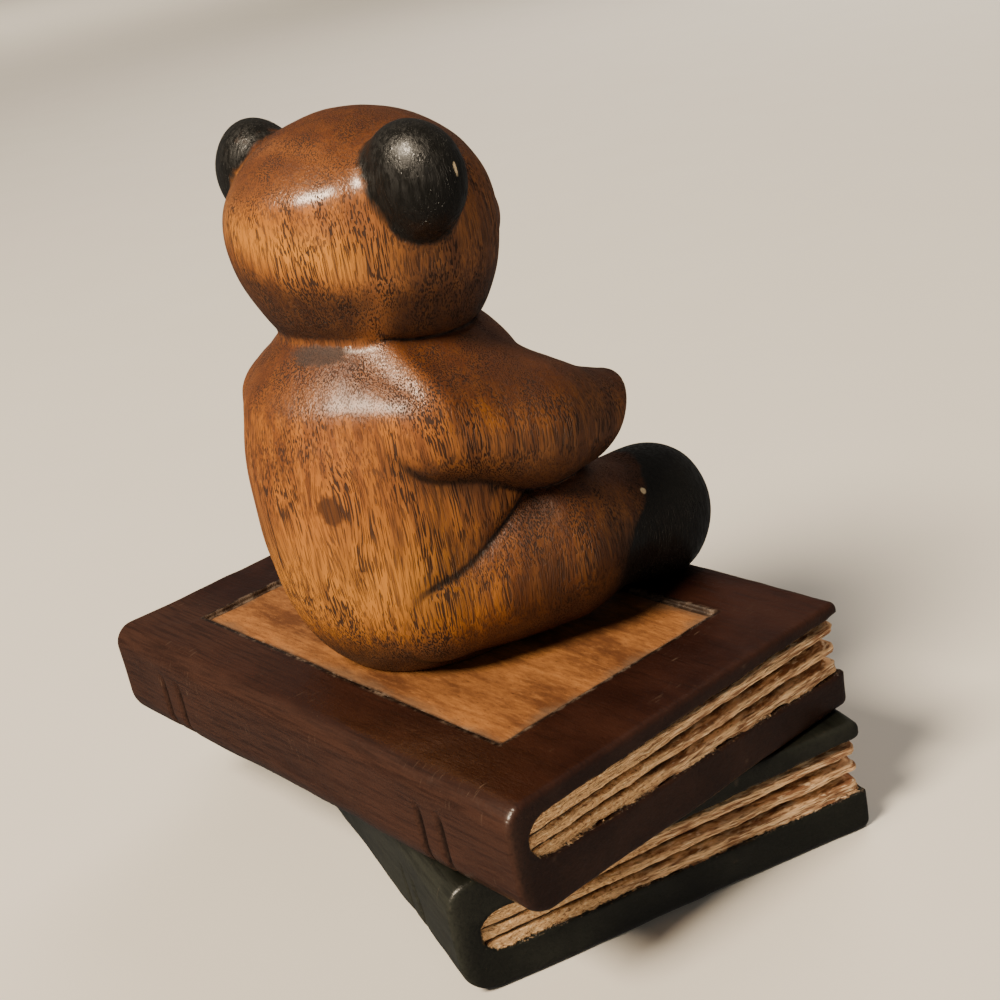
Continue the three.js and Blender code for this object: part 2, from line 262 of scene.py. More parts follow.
def head_form(points, right):
    skull = egg(points, (0, 0.5, 95.5), (30.5, 28.5, 24.5))
    jaw = egg(points, (0, -1, 81), (22, 19, 17))
    muzzle = egg(points, (0, -21, 90), (13, 13, 10.5))
    head = melted(melted(skull, jaw, 14), muzzle, 6)
    head = head - head_ridges(points) + 0.9 * mouth_line(points)
    head = melted(head, nose_form(points), 1)
    head = melted(head, eye_form(right), 0.5)
    return melted(head, ear_form(right), 3.5)


def above_head_ridge(points):
    """The height above the upper of the two ridges around the back of the head."""
    return points[..., 2] - 106 + 0.12 * points[..., 0]


def head_ridges(points):
    """The height of two soft ridges that the gouge left around the back of the head."""
    points = points.copy()
    points[..., 0] = np.clip(points[..., 0], -30, 12)
    across, behind, up = points[..., 0], points[..., 1], points[..., 2]
    at_back = rising(behind, -4, 12) * (1 - 0.6 * rising(across, 0, 12))
    upper = near_zero(above_head_ridge(points), 5.0)
    lower = near_zero(up - 95 - 0.28 * across, 4.5)
    return at_back * (1.4 * upper + 0.45 * lower)


def shoulder_ridges(points):
    """The height of the ridges that part the top of the shoulders from the back and the front."""
    across, behind, up = points[..., 0], points[..., 1], points[..., 2]
    height = 0.7 + 1.4 * rising(-across, 15, 14)
    over_shoulder = height * near_zero(behind - 13.3, 3.6) * rising(up, 58, 6)
    around_back = 0.75 * near_zero(up - 64, 3.9) * rising(behind, 11, 6)
    return np.maximum(over_shoulder, around_back)


def flank_hollow(points):
    """The depth to which the flanks are cut back between the arms and the legs."""
    behind, up = points[..., 1], points[..., 2]
    return 1.3 * falling(behind, 22, 7) * falling(up, 56, 6) * rising(up, 22, 9)


def mouth_line(points):
    """1 on the carved line of the mouth and on the short line up to the nose."""
    across, behind, up = points[..., 0], points[..., 1], points[..., 2]
    smile = near_zero(up - MOUTH_HEIGHT - 0.045 * across ** 2, 0.9) * (np.abs(across) < 7.5)
    under_nose = near_zero(across, 0.9) * (up > MOUTH_HEIGHT) * (up < 91)
    return np.maximum(smile, under_nose) * (behind < -24)


def bear_forms(points):
    right = mirrored(points)
    trunk = trunk_form(points) - shoulder_ridges(points) + flank_hollow(points)
    arm = arm_form(right)
    # The arm melts into the shoulder, and its underside meets the trunk in a crease.
    at_shoulder = rising(points[..., 2], 48, 14)
    torso = melted(trunk, arm, 1.4 + 6.6 * at_shoulder)
    return trunk, arm, torso, leg_form(right), head_form(points, right)


def bear_field(points):
    _, _, torso, leg, head = bear_forms(points)
    behind = points[..., 1]
    # The leg melts into the trunk at the back, and further ahead a carved line parts them.
    line = 0.4 * near_zero(torso - leg, 0.8) * falling(behind, 26, 5)
    body = melted(torso, leg, 0.1 + 7 * rising(behind, 12, 18)) + line
    # The nape is a smooth hollow, and a carved line parts the head from the shoulders ahead of it.
    at_nape = rising(behind, 10, 8)
    whole = creased(body, head, 0.5, 0.9) * (1 - at_nape) + melted(body, head, 2.5) * at_nape
    whole = whole + 0.35 * lumps(points, (12, 12, 14), 3) + 0.12 * lumps(points, (5, 5, 8), 4)
    border = np.maximum(
        points[..., 1] + PANEL_WIDTH / 2 - BORDER_CLEARANCE,
        points[..., 2] - PANEL_DEPTH - BORDER_CLEARANCE,
    )
    return np.maximum(np.maximum(whole, -points[..., 2]), -border)


def paint_depth(points, leg):
    """The depth inside the black paint of the feet alone, and of the feet, ears, nose and eyes."""
    right = mirrored(points)
    behind, up = points[..., 1], points[..., 2]
    # The paint reaches back along the lower side of the foot and stops short on its top.
    foot_line = np.interp(up, FOOT_PAINT_HEIGHTS, FOOT_PAINT_EDGE)
    on_foot = np.where(up < FOOT_PAINT_TOP, foot_line - behind, -9)
    on_foot = np.minimum(on_foot, 3 - leg)
    on_ear = 1.2 - egg(right, *EAR_PAINT)
    on_nose = 0.5 - nose_form(points)
    on_eye = 0.35 - eye_form(right)
    return on_foot, np.max((on_foot, on_ear, on_nose, on_eye), axis=0)


def stain_and_shade_share(points, forms, hollow):
    """1 where the wood is darker: stain on the arms and legs, beside the head and on the front,
    and stain with painted shade under the head, at the nape and in the hollows.
    """
    trunk, arm, torso, leg, head = forms
    body = np.minimum(torso, leg)
    across, behind, up = points[..., 0], points[..., 1], points[..., 2]
    on_arm = 0.8 * rising(trunk - arm, -4, 8) * falling(behind, 12, 12)
    on_leg = 0.8 * rising(torso - leg, -4, 8) * falling(behind, 16, 16)
    # Under the head, at the nape and in the hollows the darkening is partly stain and partly
    # painted shade.
    under_head = 0.95 * falling(up, 97 + 0.28 * across, 7) * rising(body - head, -2, 4)
    beside_head = 0.65 * falling(behind, 19, 10) * (head < body) * falling(up, 108, 8)
    at_nape = 0.6 * near_zero(body - head - 2, 5) * rising(behind, 11, 8)
    in_front = 0.6 * falling(behind, 14, 26)
    return np.max((on_arm, on_leg, under_head, beside_head, at_nape, in_front, hollow), axis=0)


def polish_and_sheen_share(points, head):
    """1 on the ridges that handling has polished, which are also painted paler as a painted
    highlight.
    """
    behind, up = points[..., 1], points[..., 2]
    over_shoulder = near_zero(behind - 16, 2.6) * rising(up, 58, 6)
    around_back = 0.25 * near_zero(up - 65.5, 3.5) * rising(behind, 11, 6) * (up < 80)
    around_head = near_zero(above_head_ridge(points), 5.0) * rising(behind, -4, 12)
    return np.max((over_shoulder, around_back, around_head), axis=0) * (head > -9)


def bear_marks(points):
    """Where the paint, the stain, the painted light and shade, the polish and the carved lines
    are, for each surface point.
    """
    forms = bear_forms(points)
    trunk, arm, torso, leg, head = forms
    body = np.minimum(torso, leg)
    across, behind, up = points[..., 0], points[..., 1], points[..., 2]
    on_foot, paint = paint_depth(points, leg)
    marks = {"paint": paint, "mouth": mouth_line(points)}
    # Each carved line, as the two forms that meet in it, and its strength.
    lines = {
        "leg": (torso, leg, falling(behind, 27, 5)),
        "neck": (body, head, falling(behind, 19, 8)),
        "arm": (trunk, arm, falling(up, 57, 6)),
    }
    # A broad darkening beside each carved line: partly gathered stain, partly painted shade.
    hollow = np.zeros_like(up)
    for name, (first, second, strength) in lines.items():
        gap = first - second
        strength = strength * falling(np.maximum(first, second), 4, 2)
        marks[name + "_gap"] = np.clip(gap, -GAP_REACH, GAP_REACH) / GAP_REACH
        marks[name + "_line"] = strength
        hollow = np.maximum(hollow, 0.5 * near_zero(gap, 4.5) * strength)
    marks["stain_and_shade"] = stain_and_shade_share(points, forms, hollow)
    marks["polish_and_sheen"] = polish_and_sheen_share(points, head)
    marks["soot"] = rising(on_foot, -7, 7) * falling(up, 34, 16)
    # Painted shade: the wood is darker towards the seat.
    marks["low"] = falling(up, 13, 11)
    # The backs of the head and of the hips are painted paler than the rest: partly the wood's own
    # gold, partly painted light where the lamp falls.
    on_head = near_zero(101 + 0.28 * across - up, 5)
    on_hips = 0.9 * near_zero(up - 25, 12)
    marks["pale_and_lit"] = rising(behind, 8, 14) * np.maximum(on_head, on_hips)
    return marks


def bear_creases():
    """The differences that are zero along the carved lines at the legs and the neck."""
    def at_leg(points):
        _, _, torso, leg, _ = bear_forms(points)
        return torso - leg

    def at_neck(points):
        _, _, torso, leg, head = bear_forms(points)
        return np.minimum(torso, leg) - head

    return at_leg, at_neck


# A book. In its own space the underside is at z = 0 and the spine at +Y.

def page_place(points, book):
    """The depth inside the page block's wedge, the share of the way from the spine to the
    fore-edge, the height across the wedge counted in leaves, and the wedge's half thickness."""
    spine_y, spine_z, spine_half = book["spine"]
    fore_y, fore_z, fore_half = book["fore"]
    run = np.array((fore_y - spine_y, fore_z - spine_z), points.dtype)
    offset = points[..., 1:] - np.array((spine_y, spine_z), points.dtype)
    along = np.clip((offset @ run) / (run @ run), 0, 1)
    away = offset - along[..., None] * run
    half = spine_half + (fore_half - spine_half) * along
    inside = half - length_of(away)
    level = (offset[..., 1] - along * run[1]) / half
    return inside, along, (level + 1) * LEAF_COUNT / 2, half


def leaf_cut(along, level, half):
    """The depth of the V-shaped cuts between the leaves, and between them and the covers."""
    total = np.zeros_like(along)
    for cut_level, spine_width, fore_width in LEAF_CUTS:
        from_cut = np.abs(level - cut_level) * 2 * half / LEAF_COUNT
        width = spine_width + (fore_width - spine_width) * along
        total = np.maximum(total, 1 - np.clip(from_cut / width, 0, 1) ** 0.9)
    return total * (1.4 + 4.8 * along)


def book_block(points, book):
    across = points[..., 1]
    height = points[..., 2] - book["thickness"] / 2
    spine_round = np.where(height > 0, SPINE_ROUND_TOP, SPINE_ROUND_BOTTOM)
    radius = np.where(across > 0, spine_round, COVER_EDGE_ROUND)
    over_y = np.abs(across) - book["width"] / 2 + radius
    over_z = np.abs(height) - book["thickness"] / 2 + radius
    corner = np.hypot(np.maximum(over_y, 0), np.maximum(over_z, 0))
    outline = np.minimum(np.maximum(over_y, over_z), 0) + corner - radius
    return rounded_meet(outline, np.abs(points[..., 0]) - BOOK_LENGTH / 2, END_ROUND)


def spine_lines(points, book):
    on_spine = rising(points[..., 1], book["width"] / 2 - 9, 3)
    lines = sum(near_zero(points[..., 0] - place, SPINE_LINE_WIDTH) for place in SPINE_LINES)
    return lines * on_spine * falling(points[..., 2], 19, 5)


def panel_inside(points, book):
    """The depth inside the panel's outline, which wanders a little as a hand-cut line does."""
    over_x = np.abs(points[..., 0] - PANEL_SHIFT_X) - PANEL_LENGTH / 2
    over_y = np.abs(points[..., 1]) - PANEL_WIDTH / 2
    wander = 0.3 * lumps(points, (14, 14, 50), book["seed"] + 5)
    return -np.maximum(over_x, over_y) + wander


def book_cuts(points, book):
    """The covers' block and what is cut out of it for the pages and for the panel."""
    seed = book["seed"]
    block = book_block(points, book) + 0.3 * lumps(points, (17, 15, 9), seed)
    block = block + 0.1 * lumps(points, 5, seed + 1) + SPINE_LINE_DEPTH * spine_lines(points, book)
    block = np.maximum(block, np.maximum(-points[..., 2], points[..., 2] - book["thickness"]))
    inside, along, level, half = page_place(points, book)
    inside = inside + 0.25 * lumps(points, 1.6, seed + 2)
    torn = 0.35 * (1 - 0.5 * along) * lumps(points, (1.2, 1.9, 0.8), seed + 3)
    torn = torn + 0.4 * lumps(points, (8, 9, 2.5), seed + 4)
    cut = leaf_cut(along, level, half)
    end_face = BOOK_LENGTH / 2 - 0.9 - cut + torn
    fore_face = book["width"] / 2 - 0.9 - cut + torn
    past_end = np.abs(points[..., 0]) - end_face
    past_fore = -points[..., 1] - fore_face
    pages = np.minimum(inside, rounded_meet(past_end, past_fore, 1.8))
    panel = np.full_like(pages, -9)
    if book["has_panel"]:
        floor = book["thickness"] - PANEL_DEPTH + 0.12 * lumps(points, (10, 8, 40), seed + 6)
        rim = panel_inside(points, book)
        floor = floor - 0.3 * near_zero(rim - 0.6, 0.9)
        panel = np.minimum(rim, points[..., 2] - floor)
    return block, pages, panel


def book_field(points, book):
    block, pages, panel = book_cuts(points, book)
    return np.maximum(block, np.maximum(pages, panel))


def book_creases(book):
    """The difference that is zero along the panel's edge."""
    def at_panel(points):
        block, _, panel = book_cuts(points, book)
        return block - panel

    return (at_panel,) if book["has_panel"] else ()


def book_marks(points, book):
    """Where the pages, the panel, the spine's lines, the worn places, the dust and the painted
    sheen are, for each surface point.
    """
    inside, along, level, half = page_place(points, book)
    marks = {"page": inside, "level": level, "along": along, "groove": spine_lines(points, book)}
    at_spine = rising(points[..., 1], book["width"] / 2 - 5, 4)
    at_ends = 0.3 * rising(np.abs(points[..., 0]), BOOK_LENGTH / 2 - 2.2, 1.5)
    marks["spine"] = np.maximum(at_spine, at_ends)
    # Partly dust and partly painted sheen: lighter towards the far end of the spine side.
    marks["dust_and_sheen"] = rising(points[..., 0], -10, 50) * rising(points[..., 1], 20, 12)
    on_top = points[..., 2] > book["thickness"] - PANEL_DEPTH - 1.2
    panel = panel_inside(points, book) if book["has_panel"] else np.full(along.shape, -9.0)
    marks["panel"] = np.where(on_top, panel, -9)
    return marks


# Meshes from fields

def spaced(low, high, coarse, fine_spans, fine):
    """Grid places from low to high, close together inside the fine spans."""
    places = [low]
    while places[-1] < high:
        here = places[-1]
        in_fine = any(start - coarse / 2 <= here <= end for start, end in fine_spans)
        places.append(here + (fine if in_fine else coarse))
    return np.array(places, np.float32)


def grid_values(field, axes):
    """The field at every grid point, worked out a few layers at a time."""
    layers = []
    for start in range(0, len(axes[0]), LAYERS_AT_ONCE):
        part = np.meshgrid(axes[0][start:start + LAYERS_AT_ONCE], axes[1], axes[2], indexing="ij")
        layers.append(field(np.stack(part, -1)).astype(np.float32))
    return np.concatenate(layers)


def net_points(values, axes):
    """A point in each grid cell that the surface crosses, and each cell's point number."""
    shape = tuple(n - 1 for n in values.shape)
    inside = values < 0
    count = np.zeros(shape, np.int32)
    for i in (0, 1):
        for j in (0, 1):
            for k in (0, 1):
                count += inside[i:i + shape[0], j:j + shape[1], k:k + shape[2]]
    crossed = (count > 0) & (count < 8)
    cells = np.argwhere(crossed)
    number = np.full(shape, -1, np.int32)
    number[crossed] = np.arange(len(cells))
    total = np.zeros((len(cells), 3))
    hits = np.zeros(len(cells))
    for axis in range(3):
        for first in (0, 1):
            for second in (0, 1):
                start = np.zeros(3, int)
                start[(axis + 1) % 3] = first
                start[(axis + 2) % 3] = second
                end = start.copy()
                end[axis] = 1
                a = values[tuple((cells + start).T)]
                b = values[tuple((cells + end).T)]
                hit = (a < 0) != (b < 0)
                share = np.where(hit, a / np.where(hit, a - b, 1), 0)
                total += hit[:, None] * (start + share[:, None] * (end - start))
                hits += hit
    places = total / hits[:, None]
    low = np.stack([axes[i][cells[:, i]] for i in range(3)], -1)
    high = np.stack([axes[i][cells[:, i] + 1] for i in range(3)], -1)
    return low + places * (high - low), number


def net_faces(values, number):
    """Four-sided faces around each grid edge that the surface crosses, turned to face out."""
    inside = values < 0
    faces = []
    for axis in range(3):
        ahead = np.roll(inside, -1, axis)
        crossing = inside != ahead
        core = np.zeros_like(crossing)
        core[1:-1, 1:-1, 1:-1] = True
        edges = np.argwhere(crossing & core)
        quads = []
        for first, second in ((0, 0), (1, 0), (1, 1), (0, 1)):
            cell = edges.copy()
            cell[:, (axis + 1) % 3] -= first
            cell[:, (axis + 2) % 3] -= second
            quads.append(number[tuple(cell.T)])
        quads = np.stack(quads, -1)
        outward = inside[tuple(edges.T)]
        quads[~outward] = quads[~outward][:, ::-1]
        faces.append(quads)
    return np.concatenate(faces)


def slope_of(points, field):
    """A field's value at each point, and the direction in which it grows."""
    slope = []
    for move in SLOPE_STEP * np.eye(3):
        slope.append((field(points + move) - field(points - move)) / (2 * SLOPE_STEP))
    return field(points), np.stack(slope, -1)


def settle(points, field, reach):
    """Moves points onto the surface, none of them further than this reach."""
    start = points.copy()
    for _ in range(SETTLING_ROUNDS):
        value, slope = slope_of(points, field)
        steepness = (slope * slope).sum(-1) + 0.2
        points = points - (value / steepness)[:, None] * slope
        points = start + np.clip(points - start, -reach, reach)
    return points


def pinch(points, field, crease, reach):
    """Moves the points beside a crease onto it, so that it becomes one clean line."""
    value, slope = slope_of(points, crease)
    away = np.abs(value) / (length_of(slope) + 0.1)
    near = np.nonzero((away < reach) & (np.abs(field(points)) < 1))[0]
    moved = points[near]
    for _ in range(SETTLING_ROUNDS):
        value, slope = slope_of(moved, crease)
        moved = moved - (value / ((slope * slope).sum(-1) + 0.05))[:, None] * slope
        value, slope = slope_of(moved, field)
        moved = moved - (value / ((slope * slope).sum(-1) + 0.2))[:, None] * slope
    kept = length_of(moved - points[near]) < 1.5 * reach
    points[near[kept]] = moved[kept]
    return points


def carve(name, field, axes, reach, marks, creases=()):
    """A mesh object wrapped around the field's surface, with marks as values on its points."""
    values = grid_values(field, axes)
    points, number = net_points(values, axes)
    points = settle(points.astype(np.float64), field, reach)
    for crease in creases:
        points = pinch(points, field, crease, reach)
    faces = net_faces(values, number)
    mesh = bpy.data.meshes.new(name)
    mesh.from_pydata((points * MM).tolist(), [], faces.tolist())
    for mark, numbers in marks(points).items():
        layer = mesh.attributes.new(mark, "FLOAT", "POINT")
        layer.data.foreach_set("value", numbers.astype(np.float32))
    mesh.shade_smooth()
    mesh.update()
    carved = bpy.data.objects.new(name, mesh)
    bpy.context.scene.collection.objects.link(carved)
    return carved


def carve_bear():
    axes = [
        np.arange(low, high, BEAR_STEP, dtype=np.float32)
        for low, high in zip(BEAR_LOW, BEAR_HIGH)
    ]
    carved = carve("carved_bear", bear_field, axes, BEAR_STEP / 2, bear_marks, bear_creases())
    carved.location.z = SEAT_HEIGHT * MM
    return carved


def around(places, reach):
    """A span on both sides of each place."""
    return [(place - reach, place + reach) for place in places]


def carve_book(name, book):
    end = BOOK_LENGTH / 2
    half = book["width"] / 2
    spans_x = [(-end - 2, -end + 8), (end - 8, end + 2)] + around(SPINE_LINES, 2)
    spans_y = [(-half - 2, -half + 7), (half - 4, half + 2)]
    if book["has_panel"]:
        spans_x += around([PANEL_SHIFT_X + side * PANEL_LENGTH / 2 for side in (-1, 1)], 1.5)
        spans_y += around([side * PANEL_WIDTH / 2 for side in (-1, 1)], 1.5)
    coarse_x, coarse_y = BOOK_COARSE_STEPS
    fine_x, fine_y, fine_z = BOOK_FINE_STEPS
    axes = [
        spaced(-end - BOOK_MARGIN, end + BOOK_MARGIN, coarse_x, spans_x, fine_x),
        spaced(-half - BOOK_MARGIN, half + BOOK_MARGIN, coarse_y, spans_y, fine_y),
        spaced(-2 * fine_z, book["thickness"] + 2 * fine_z, fine_z, [], fine_z),
    ]
    return carve(
        name, lambda points: book_field(points, book), axes, BOOK_REACH,
        lambda points: book_marks(points, book), book_creases(book),
    )


# Materials

class Shader:
    """A material's nodes, with one short call for each kind of node."""

    def __init__(self, name):
        self.material = bpy.data.materials.new(name)
        self.material.use_nodes = True
        self.nodes = self.material.node_tree.nodes
        self.links = self.material.node_tree.links
        self.surface = self.nodes["Principled BSDF"]
        self.place = self.nodes.new("ShaderNodeTexCoord").outputs["Object"]

    def join(self, value, socket):
        if isinstance(value, bpy.types.NodeSocket):
            self.links.new(value, socket)
        else:
            socket.default_value = value

    def calc(self, operation, first, second=0.0, third=0.0):
        node = self.nodes.new("ShaderNodeMath")
        node.operation = operation
        for socket, value in zip(node.inputs, (first, second, third)):
            self.join(value, socket)
        return node.outputs[0]

    def vector(self, operation, first, second=(0, 0, 0), scale=None):
        node = self.nodes.new("ShaderNodeVectorMath")
        node.operation = operation
        self.join(first, node.inputs[0])
        self.join(second, node.inputs[1])
        if scale is not None:
            self.join(scale, node.inputs["Scale"])
        gives_number = operation in ("LENGTH", "DOT_PRODUCT")
        return node.outputs["Value"] if gives_number else node.outputs[0]

    def noise(self, size_mm, stretch=(1, 1, 1), detail=2.0, rough=0.5, place=None, colour=False):
        """Noise with lumps of about this size, made longer along an axis by its stretch."""
        squeeze = tuple(1 / (size_mm * MM * share) for share in stretch)
        node = self.nodes.new("ShaderNodeTexNoise")
        node.inputs["Scale"].default_value = 1.0
        node.inputs["Detail"].default_value = detail
        node.inputs["Roughness"].default_value = rough
        self.join(self.vector("MULTIPLY", place or self.place, squeeze), node.inputs["Vector"])
        return node.outputs[1] if colour else node.outputs[0]

    def value(self, name):
        node = self.nodes.new("ShaderNodeAttribute")
        node.attribute_name = name
        return node.outputs["Fac"]

    def fade(self, value, low, high):
        """0 where the value is low, 1 where it is high, and smooth between."""
        node = self.nodes.new("ShaderNodeMapRange")
        node.interpolation_type = "SMOOTHSTEP"
        self.join(value, node.inputs[0])
        node.inputs[1].default_value = low
        node.inputs[2].default_value = high
        return node.outputs[0]

    def blend(self, share, first, second):
        """The first colour where the share is 0 and the second where it is 1."""
        node = self.nodes.new("ShaderNodeMix")
        node.data_type = "RGBA"
        self.join(share, node.inputs[0])
        self.join(first, node.inputs[6])
        self.join(second, node.inputs[7])
        return node.outputs[2]

    def between(self, share, first, second):
        """The first number where the share is 0 and the second where it is 1."""
        node = self.nodes.new("ShaderNodeMix")
        self.join(share, node.inputs[0])
        self.join(first, node.inputs[2])
        self.join(second, node.inputs[3])
        return node.outputs[0]

    def tint(self, colour, tone, share, strength):
        """A colour turned to a tone, by this strength where the share is 1."""
        return self.blend(self.calc("MULTIPLY", share, strength), colour, tone)

    def without(self, share):
        """0 where the share is 1, and 1 where it is 0."""
        return self.calc("SUBTRACT", 1.0, share)

    def leaf_gap_shade(self, ragged):
        """1 in the cuts between the leaves of a book, where shade is painted, 0 on the leaves."""
        along = self.value("along")
        leaf = self.calc("MULTIPLY_ADD", along, 1.6, 3.3)
        total = 0.0
        for cut_level, spine_width, fore_width in LEAF_CUTS:
            away = self.calc("ABSOLUTE", self.calc("SUBTRACT", self.value("level"), cut_level))
            width = self.calc("MULTIPLY_ADD", along, fore_width - spine_width, spine_width)
            away = self.calc("DIVIDE", self.calc("MULTIPLY", away, leaf), width)
            away = self.calc("MULTIPLY_ADD", ragged, 0.6, self.calc("ADD", away, -0.3))
            total = self.calc("MAXIMUM", total, self.without(self.fade(away, 0.3, 0.8)))
        return total

    def line(self, name, reach_mm):
        """1 on a carved line of the bear, falling to 0 over a reach on both sides."""
        away = self.calc("ABSOLUTE", self.value(name + "_gap"))
        away = self.fade(away, LINE_CORE / GAP_REACH, reach_mm / GAP_REACH)
        return self.calc("MULTIPLY", self.without(away), self.value(name + "_line"))

    def spot(self, place_mm, radius_mm, stretch=(1, 1, 1)):
        """1 around a place, falling to 0 at its ragged edge."""
        offset = self.vector("SUBTRACT", self.place, tuple(c * MM for c in place_mm))
        offset = self.vector("DIVIDE", offset, stretch)
        ragged = self.calc("MULTIPLY_ADD", self.noise(1.5), radius_mm * MM, 0.5 * radius_mm * MM)
        away = self.calc("DIVIDE", self.vector("LENGTH", offset), ragged)
        return self.without(self.fade(away, 0.7, 1.2))

    def finish(self, colour, roughness, height, depth_mm):
        """Joins the colour, the roughness and a bump of this depth to the surface."""
        bump = self.nodes.new("ShaderNodeBump")
        bump.inputs["Strength"].default_value = 1.0
        bump.inputs["Distance"].default_value = depth_mm * MM
        self.join(height, bump.inputs["Height"])
        self.join(colour, self.surface.inputs["Base Color"])
        self.join(roughness, self.surface.inputs["Roughness"])
        self.join(bump.outputs[0], self.surface.inputs["Normal"])
        return self.material


def linear(red, green, blue):
    """A colour given from 0 to 255, as the linear colour that shaders use."""
    return tuple(((c / 255 + 0.055) / 1.055) ** 2.4 if c > 10 else c / 255 / 12.92
                 for c in (red, green, blue)) + (1.0,)


# The bear's wood, from pale to dirty, with tones that also paint light, highlight and shade
PALE_AND_LIT_GOLD = linear(212, 138, 36)
GOLD = linear(178, 106, 30)
RUBBED_AND_HIGHLIGHT_GOLD = linear(186, 116, 56)
AMBER = linear(142, 80, 26)
BROWN = linear(84, 45, 19)
TOP_BROWN = linear(86, 43, 18)
SHADE_AND_STAIN_BROWN = linear(54, 27, 12)
SEAT_SHADE_BROWN = linear(82, 52, 30)
KNOT_BROWN = linear(66, 34, 16)
NECK_STAIN = linear(56, 44, 40)
PORE = linear(42, 20, 9)
DIRT_AND_CREASE_SHADE = linear(24, 11, 5)
BLACK = linear(20, 19, 16)
BARE_CHIP = linear(225, 205, 170)

# The torn wood of the pages
PAGE_DARK = linear(142, 98, 64)
PAGE_PALE = linear(236, 196, 150)
PAGE_RUSSET = linear(162, 104, 70)
FIBRE_PALE = linear(246, 220, 182)
FIBRE_DARK = linear(84, 46, 24)
CRUMB_DARK = linear(122, 76, 43)
CRUMB_TAN = linear(220, 176, 124)
CRUMB_PALE = linear(248, 222, 176)
GAP_SHADE = linear(30, 15, 8)

# The bare panel and the line around it
PANEL_WOOD = linear(170, 112, 60)
PANEL_STAIN = linear(106, 64, 33)
PANEL_STREAK = linear(82, 44, 21)
PANEL_SPECK = linear(54, 28, 14)
PANEL_MOTTLE = linear(84, 48, 25)
PANEL_PALE = linear(196, 138, 82)
PANEL_DIRT = linear(118, 92, 70)
RIM_DIRT = linear(26, 16, 12)
RIM_CHIPPED = linear(112, 96, 82)

# Cover paint: its dark, usual, rubbed and worn colours; the worn colour also paints the sheen
# towards the far end of the spine side.
MAROON = (linear(18, 8, 5), linear(36, 16, 10), linear(52, 27, 18), linear(82, 54, 41))
GREEN_BLACK = (linear(11, 12, 10), linear(18, 20, 16), linear(34, 36, 30), linear(64, 66, 58))
SCRATCH = linear(150, 128, 108)

# Marks on the bear, in millimetres
KNOT_PLACE = (-15.4, 33.8, 44.5)
KNOT_REACH = 9.0
KNOT_RADIUS = 3.5
NECK_STAIN_PLACE = (-7.0, 22.5, 74.0)
NECK_STAIN_RADIUS = 5.6
FOOT_CHIP_PLACE = (-37.4, -33.3, 26.2)
FOOT_CHIP_RADIUS = 0.75
EAR_CHIP_PLACE = (-39.6, 3.5, 108.9)
EAR_CHIP_RADIUS = 0.8
FIBRE_WAVER = 5.0
LINE_CORE = 0.1

BEAR_BUMP = 0.22
BOOK_BUMP = 0.5
FLOOR_BUMP = 0.02


def along_fibres(shader):
    """The place among upright fibres, which waver a little and part around the knot."""
    waver = shader.vector("SUBTRACT", shader.noise(22, (1, 1, 2), colour=True), (0.5, 0.5, 0.5))
    waver = shader.vector("MULTIPLY", waver, (FIBRE_WAVER * MM, FIBRE_WAVER * MM, 0.0))
    place = shader.vector("ADD", shader.place, waver)
    knot = tuple(c * MM for c in KNOT_PLACE)
    from_knot = shader.vector("SUBTRACT", place, knot)
    distance = shader.vector("LENGTH", shader.vector("MULTIPLY", from_knot, (1, 1, 0.55)))
    pull = shader.fade(distance, 0.0, KNOT_REACH * MM)
    parted = shader.vector("SCALE", from_knot, scale=shader.between(pull, 0.35, 1.0))
    return shader.vector("ADD", parted, knot)


def stained_wood(shader, place, streaks):
    """The wood's colour: bands and streaks of gold and brown under an uneven stain, with painted
    light on the backs of the head and hips and painted shade underneath, in the hollows and
    towards the seat.
    """
    bands = shader.noise(3.0, (1, 1, 9), 3.0, 0.6, place)
    patches = shader.noise(15, (1, 1, 2.2), 3.0, 0.6, place)
    colour = shader.blend(shader.fade(bands, 0.40, 0.62), GOLD, AMBER)
    # Paler on the backs of the head and hips: partly the wood's own gold, partly painted light.
    colour = shader.tint(colour, PALE_AND_LIT_GOLD, shader.value("pale_and_lit"), 0.7)
    colour = shader.tint(colour, BROWN, shader.fade(streaks, 0.46, 0.68), 0.7)
    colour = shader.tint(colour, BROWN, shader.fade(patches, 0.5, 0.75), 0.6)
    # End grain, which faces up and down, drinks more of the stain. The faces that look down are
    # darker still, partly from the stain and partly as painted shade.
    normal = shader.nodes.new("ShaderNodeNewGeometry").outputs["Normal"]
    facing = shader.calc("ADD", shader.vector("DOT_PRODUCT", normal, (0, 0, 1)), -0.15)
    facing = shader.calc("MULTIPLY_ADD", patches, 0.3, facing)
    down_faces_stain_and_shade = shader.fade(shader.calc("MULTIPLY", facing, -1.0), 0.1, 0.7)
    colour = shader.tint(colour, TOP_BROWN, shader.fade(facing, 0.2, 0.8), 0.75)
    colour = shader.tint(colour, SHADE_AND_STAIN_BROWN, down_faces_stain_and_shade, 0.75)
    # Stain on the arms, legs and front, and stain with painted shade under the head, at the nape
    # and in the hollows.
    colour = shader.tint(colour, SHADE_AND_STAIN_BROWN, shader.value("stain_and_shade"), 0.75)
    # Painted shade towards the seat.
    return shader.tint(colour, SEAT_SHADE_BROWN, shader.value("low"), 0.6)


